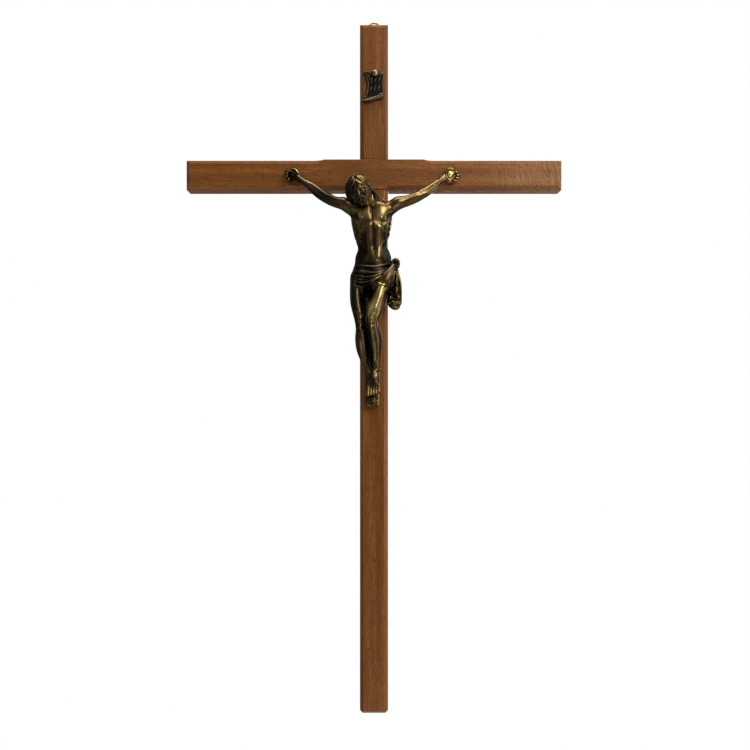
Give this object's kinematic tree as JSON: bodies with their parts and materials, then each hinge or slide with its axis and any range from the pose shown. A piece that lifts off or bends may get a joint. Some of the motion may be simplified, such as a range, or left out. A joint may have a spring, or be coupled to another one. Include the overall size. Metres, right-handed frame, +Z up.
{
  "type": "wall cross",
  "caption": "Beech wall cross with chamfered edges, an antique brass corpus with wound loincloth, a scroll title plaque and a brass ring hanger let into the back",
  "frame": {"origin": "Middle of the crossing on the back plane, which lies against the wall", "axes": "+Z up, the front towards -Y, the wall at +Y, metres"},
  "size_m": [0.218, 0.0341, 0.4051],
  "materials": {
    "beech": "steamed beech with a thin clear lacquer, short dark flecks along the grain",
    "antique_brass": "near-black patina in the hollows, rubbed pale on the ridges, clear lacquered",
    "dark_bronze": "dark bronzed patina, rubbed on the rims",
    "pin_brass": "polished domed heads",
    "hanger_brass": "plain bright wire and sheet, slightly dulled"
  },
  "bodies": {
    "root": {"post": "beech", "crossbar": "beech", "corpus": "antique_brass", "title_plaque": "dark_bronze", "title_nail": "pin_brass", "hand_nail_left": "pin_brass", "hand_nail_right": "pin_brass", "foot_nail": "antique_brass", "hanging_ring": "hanger_brass", "hanger_plate": "hanger_brass", "hanger_nail": "hanger_brass"}
  },
  "joints": []
}
